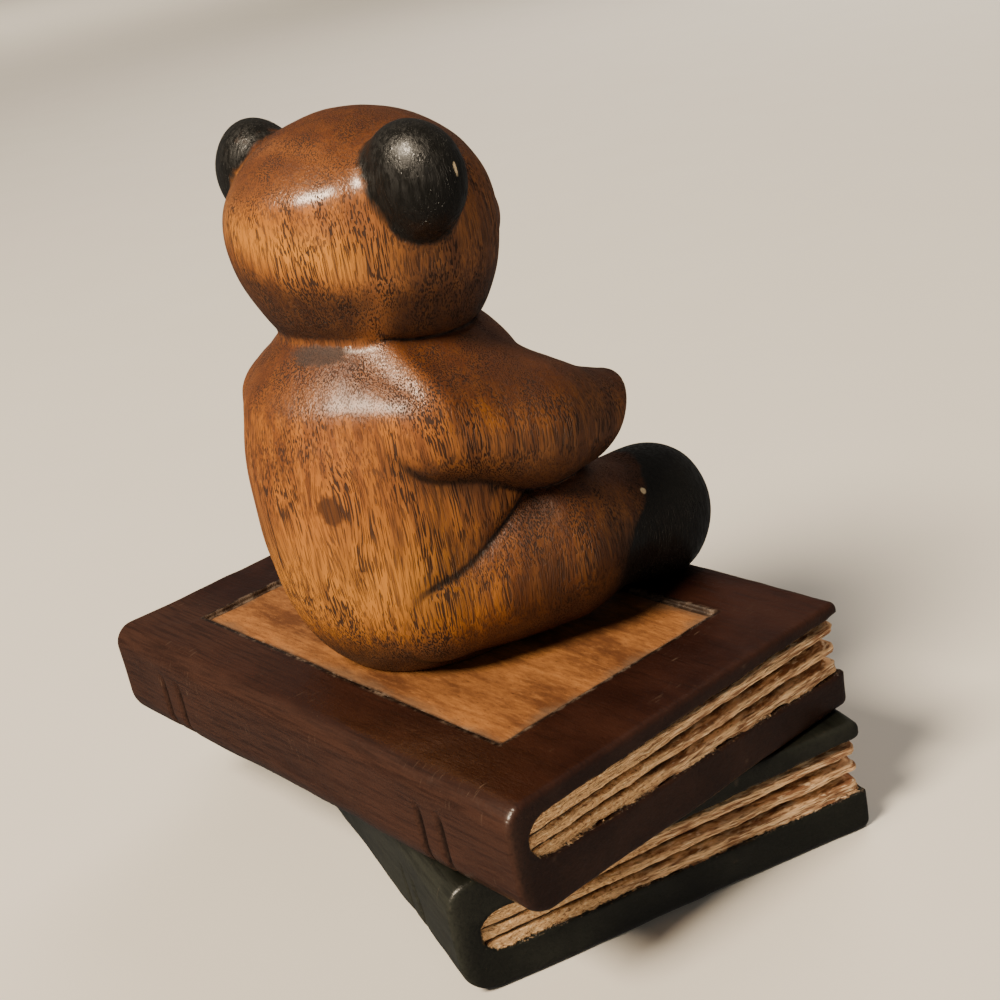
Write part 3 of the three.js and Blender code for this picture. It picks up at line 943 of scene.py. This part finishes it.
def bear_material():
    shader = Shader("bear_wood")
    place = along_fibres(shader)
    streaks = shader.noise(0.8, (1, 1, 22), 3.0, 0.6, place)
    pores = shader.noise(0.29, (1, 1, 17), 0.0, 0.4, place)
    pore_zones = shader.noise(6, (1, 1, 3), 2.0, 0.5, place)
    pore = shader.fade(shader.calc("MULTIPLY_ADD", pore_zones, 0.2, pores), 0.64, 0.71)
    openness = shader.between(shader.fade(pore_zones, 0.4, 0.6), 0.5, 1.0)
    pore = shader.calc("MULTIPLY", pore, openness)
    polish_and_sheen = shader.value("polish_and_sheen")

    colour = stained_wood(shader, place, streaks)
    # Paler along the polished ridges: partly rubbed wood, partly a painted highlight.
    colour = shader.tint(colour, RUBBED_AND_HIGHLIGHT_GOLD, polish_and_sheen, 0.35)
    colour = shader.tint(colour, PORE, pore, 0.9)
    # Painted shade along the carved lines at the leg, the neck and the arm, which are too narrow
    # for the mesh to shade.
    for name, reach_mm, strength in (("leg", 0.7, 0.9), ("neck", 0.8, 0.9), ("arm", 1.4, 0.75)):
        colour = shader.tint(colour, DIRT_AND_CREASE_SHADE, shader.line(name, reach_mm), strength)
    colour = shader.tint(colour, DIRT_AND_CREASE_SHADE, shader.fade(shader.value("mouth"), 0.25, 1.0), 0.85)
    colour = shader.tint(colour, KNOT_BROWN, shader.spot(KNOT_PLACE, KNOT_RADIUS), 0.8)
    neck_stain = shader.spot(NECK_STAIN_PLACE, NECK_STAIN_RADIUS, (1.4, 1.0, 0.35))
    colour = shader.tint(colour, NECK_STAIN, neck_stain, 0.8)

    # Black paint with a ragged edge, smudged beyond it and chipped in two places.
    colour = shader.tint(colour, BLACK, shader.value("soot"), 0.7)
    ragged = shader.calc("MULTIPLY_ADD", shader.noise(2.4, (1, 1, 2)), 2.4, -1.2)
    paint = shader.fade(shader.calc("ADD", shader.value("paint"), ragged), -0.9, 0.7)
    colour = shader.blend(paint, colour, BLACK)
    foot_chip = shader.spot(FOOT_CHIP_PLACE, FOOT_CHIP_RADIUS)
    ear_chip = shader.spot(EAR_CHIP_PLACE, EAR_CHIP_RADIUS, (0.6, 0.6, 1.7))
    colour = shader.blend(shader.calc("MAXIMUM", foot_chip, ear_chip), colour, BARE_CHIP)

    # The polished ridges are waxed, and the pores between are dull.
    dull = shader.calc("MAXIMUM", pore, neck_stain)
    wood_roughness = shader.between(dull, shader.between(polish_and_sheen, 0.5, 0.32), 0.75)
    brushed = shader.fade(shader.noise(0.9, (1, 1, 4)), 0.35, 0.65)
    roughness = shader.between(paint, wood_roughness, shader.between(brushed, 0.28, 0.58))
    wax = shader.between(dull, shader.between(polish_and_sheen, 0.15, 0.95), 0.0)
    shader.join(shader.between(paint, wax, 0.2), shader.surface.inputs["Coat Weight"])
    shader.surface.inputs["Coat Roughness"].default_value = 0.27
    shader.surface.inputs["Specular IOR Level"].default_value = 0.6
    streak_height = shader.calc("MULTIPLY", streaks, 0.5)
    height = shader.calc("MULTIPLY_ADD", shader.noise(0.6, (1, 1, 3), 2.0), 0.6, streak_height)
    height = shader.calc("MULTIPLY_ADD", shader.noise(2.6, (1, 1, 2), 2.0), 0.9, height)
    height = shader.calc("SUBTRACT", height, shader.calc("MULTIPLY", pore, 0.8))
    return shader.finish(colour, roughness, height, BEAR_BUMP)


def torn_pages(shader, fibres, flecks):
    """The colour of bare torn wood, fibrous along the leaves and crumbly beside the spine."""
    crumbs = shader.noise(0.55, (1.8, 1.8, 1), 3.0, 0.7)
    bands = shader.noise(7, (3, 3, 0.35), 2.0, 0.5)
    from_spine = shader.calc("ADD", shader.value("along"), 0.25)
    from_spine = shader.calc("MULTIPLY_ADD", bands, -0.5, from_spine)
    colour = shader.blend(shader.fade(flecks, 0.38, 0.6), PAGE_DARK, PAGE_PALE)
    colour = shader.tint(colour, PAGE_RUSSET, shader.fade(bands, 0.48, 0.7), 0.5)
    colour = shader.tint(colour, FIBRE_PALE, shader.fade(fibres, 0.54, 0.68), 0.85)
    colour = shader.tint(colour, FIBRE_DARK, shader.fade(fibres, 0.44, 0.30), 0.7)
    crumbled = shader.blend(shader.fade(crumbs, 0.34, 0.5), CRUMB_DARK, CRUMB_TAN)
    crumbled = shader.blend(shader.fade(crumbs, 0.56, 0.66), crumbled, CRUMB_PALE)
    colour = shader.tint(colour, crumbled, shader.fade(from_spine, 0.5, 0.2), 0.8)
    # Painted shade in the cuts between the leaves.
    return shader.tint(colour, GAP_SHADE, shader.leaf_gap_shade(flecks), 0.94)


def stained_panel(shader):
    """The colour of the panel, with the grain along the book and dirt along its edges."""
    clouds = shader.noise(9, (3, 1, 1), 4.0, 0.66)
    streaks = shader.noise(1.0, (20, 1, 1), 3.0, 0.6)
    specks = shader.noise(0.4, (3, 1, 1), 1.0)
    mottling = shader.noise(1.0, (4, 1, 1), 5.0, 0.75)
    edge_depth = shader.noise(6, (3, 2, 1), 4.0, 0.65)
    edge_depth = shader.calc("MULTIPLY_ADD", edge_depth, 14.0, shader.value("panel"))
    colour = shader.blend(shader.fade(clouds, 0.36, 0.66), PANEL_WOOD, PANEL_STAIN)
    colour = shader.tint(colour, PANEL_STREAK, shader.fade(streaks, 0.48, 0.68), 0.28)
    colour = shader.tint(colour, PANEL_SPECK, shader.fade(specks, 0.64, 0.74), 0.5)
    colour = shader.tint(colour, PANEL_MOTTLE, shader.fade(mottling, 0.46, 0.66), 0.4)
    colour = shader.tint(colour, PANEL_PALE, shader.fade(mottling, 0.48, 0.34), 0.25)
    return shader.tint(colour, PANEL_DIRT, shader.without(shader.fade(edge_depth, 7.0, 11.0)), 0.6)


def cover_paint(shader, tones, cloud, brush):
    """The colour of paint brushed along the grain, rubbed, worn, scratched and dusted, with a
    painted sheen towards the far end of the spine side.
    """
    dark, usual, rubbed, worn = tones
    colour = shader.blend(shader.fade(cloud, 0.42, 0.68), usual, rubbed)
    colour = shader.tint(colour, rubbed, shader.fade(brush, 0.55, 0.72), 0.3)
    colour = shader.tint(colour, dark, shader.fade(brush, 0.46, 0.32), 0.4)
    # The spine and ends are worn, and the far end of the spine side is lighter with dust and
    # painted sheen.
    wear_dust_and_sheen = shader.calc("MAXIMUM", shader.value("spine"), shader.value("dust_and_sheen"))
    uneven = shader.between(shader.fade(brush, 0.35, 0.6), 0.2, 0.45)
    colour = shader.tint(colour, worn, wear_dust_and_sheen, uneven)
    colour = shader.tint(colour, DIRT_AND_CREASE_SHADE, shader.fade(shader.value("groove"), 0.2, 0.8), 0.85)
    scratch_zone = shader.fade(shader.noise(13), 0.54, 0.68)
    scratch = shader.fade(shader.noise(0.4, (0.8, 12, 12), 1.0), 0.68, 0.76)
    scratch = shader.calc("MULTIPLY", shader.calc("MULTIPLY", scratch, scratch_zone), 0.3)
    dust = shader.fade(shader.noise(0.5, (1, 1, 1), 1.0), 0.79, 0.82)
    dust = shader.calc("MULTIPLY", dust, 0.4)
    return shader.blend(shader.calc("MAXIMUM", scratch, dust), colour, SCRATCH)


def with_rim(shader, colour):
    """A colour with the dirty, chipped line around the panel added to it."""
    from_rim = shader.calc("ABSOLUTE", shader.calc("SUBTRACT", shader.value("panel"), 0.3))
    chipped = shader.fade(shader.noise(3, (1, 1, 1), 5.0, 0.75), 0.46, 0.66)
    rim_colour = shader.blend(chipped, RIM_DIRT, RIM_CHIPPED)
    return shader.tint(colour, rim_colour, shader.without(shader.fade(from_rim, 0.65, 1.5)), 0.9)


def book_material(name, tones):
    shader = Shader(name)
    fibres = shader.noise(0.34, (10, 10, 1), 2.0, 0.6)
    flecks = shader.noise(0.8, (9, 9, 0.7), 3.0, 0.6)
    cloud = shader.noise(20, (2, 1, 1), 4.0, 0.62)
    brush = shader.noise(0.7, (18, 1, 1), 3.0, 0.6)
    ragged = shader.calc("MULTIPLY_ADD", shader.noise(0.8), 1.2, -0.6)
    on_page = shader.fade(shader.calc("ADD", shader.value("page"), ragged), -0.1, 0.35)
    on_panel = shader.fade(shader.value("panel"), -0.5, -0.1)

    colour = cover_paint(shader, tones, cloud, brush)
    colour = shader.blend(on_page, colour, torn_pages(shader, fibres, flecks))
    colour = shader.blend(on_panel, colour, stained_panel(shader))
    colour = with_rim(shader, colour)

    roughness = shader.between(on_page, shader.between(cloud, 0.22, 0.42), 0.85)
    roughness = shader.between(on_panel, roughness, 0.5)
    shader.surface.inputs["Specular IOR Level"].default_value = 0.7
    pits = shader.noise(0.9, (1.5, 1, 1), 3.0, 0.6)
    dents = shader.noise(3.5, (2, 1, 1), 3.0)
    cover_height = shader.calc("MULTIPLY_ADD", pits, 0.22, shader.calc("MULTIPLY", brush, 0.12))
    cover_height = shader.calc("MULTIPLY_ADD", dents, 0.4, cover_height)
    page_height = shader.calc("MULTIPLY_ADD", flecks, 1.2, fibres)
    height = shader.between(on_page, cover_height, page_height)
    return shader.finish(colour, roughness, height, BOOK_BUMP)


def floor_material():
    shader = Shader("pale_floor")
    colour = shader.blend(shader.noise(60), linear(248, 244, 236), linear(245, 240, 231))
    return shader.finish(colour, 0.9, shader.noise(3), FLOOR_BUMP)


# The scene

def aim(place, target):
    """A turn that points an object's -Z axis from a place at a target."""
    return (Vector(target) - Vector(place)).to_track_quat("-Z", "Y").to_euler()


def add_camera():
    azimuth = math.radians(CAMERA_AZIMUTH)
    elevation = math.radians(CAMERA_ELEVATION)
    roll = math.radians(CAMERA_ROLL)
    back = Vector((
        math.sin(azimuth) * math.cos(elevation),
        -math.cos(azimuth) * math.cos(elevation),
        math.sin(elevation),
    ))
    level_right = Vector((math.cos(azimuth), math.sin(azimuth), 0))
    level_up = back.cross(level_right)
    right = math.cos(roll) * level_right + math.sin(roll) * level_up
    up = -math.sin(roll) * level_right + math.cos(roll) * level_up
    turn = Matrix((right, up, back)).transposed()
    camera_data = bpy.data.cameras.new("camera")
    camera_data.lens = CAMERA_LENS
    camera_data.sensor_width = SENSOR_WIDTH
    camera = bpy.data.objects.new("camera", camera_data)
    camera.matrix_world = Matrix.Translation(Vector(CAMERA_PLACE) * MM) @ turn.to_4x4()
    bpy.context.scene.collection.objects.link(camera)
    bpy.context.scene.camera = camera


def add_light(name, place, target, size, power, colour, shows_in_gloss):
    light_data = bpy.data.lights.new(name, "AREA")
    light_data.shape = "DISK"
    light_data.size = size
    light_data.energy = power
    light_data.color = colour
    light = bpy.data.objects.new(name, light_data)
    light.location = place
    light.rotation_euler = aim(place, target)
    light.visible_glossy = shows_in_gloss
    bpy.context.scene.collection.objects.link(light)


def add_floor():
    mesh = bpy.data.meshes.new("floor")
    sides = ((-1, -1), (1, -1), (1, 1), (-1, 1))
    corners = [(FLOOR_REACH * across, FLOOR_REACH * behind, 0) for across, behind in sides]
    mesh.from_pydata(corners, [], [(0, 1, 2, 3)])
    floor = bpy.data.objects.new("floor", mesh)
    floor.data.materials.append(floor_material())
    # The object stood in a dark room, so its gloss shows the lamps and not the floor.
    floor.visible_glossy = False
    bpy.context.scene.collection.objects.link(floor)


def add_world():
    world = bpy.data.worlds.new("soft_room")
    world.use_nodes = True
    background = world.node_tree.nodes["Background"]
    background.inputs["Color"].default_value = (1.0, 0.93, 0.84, 1)
    background.inputs["Strength"].default_value = 0.1
    bpy.context.scene.world = world


add_camera()
add_floor()
add_world()
for light in LIGHTS:
    add_light(*light)

bear = carve_bear()
bear.data.materials.append(bear_material())
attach(bear, "root")
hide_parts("bear")

upper_book = carve_book("carved_upper_book", UPPER)
upper_book.location.z = UPPER_BOOK_HEIGHT * MM
upper_book.data.materials.append(book_material("maroon_book", MAROON))
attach(upper_book, "root")
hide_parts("upper_book")

lower_book = carve_book("carved_lower_book", LOWER)
lower_book.location = (LOWER_SHIFT[0] * MM, LOWER_SHIFT[1] * MM, 0)
lower_book.rotation_euler.z = LOWER_TURN
lower_book.data.materials.append(book_material("green_black_book", GREEN_BLACK))
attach(lower_book, "root")
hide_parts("lower_book")

bpy.context.view_layer.update()
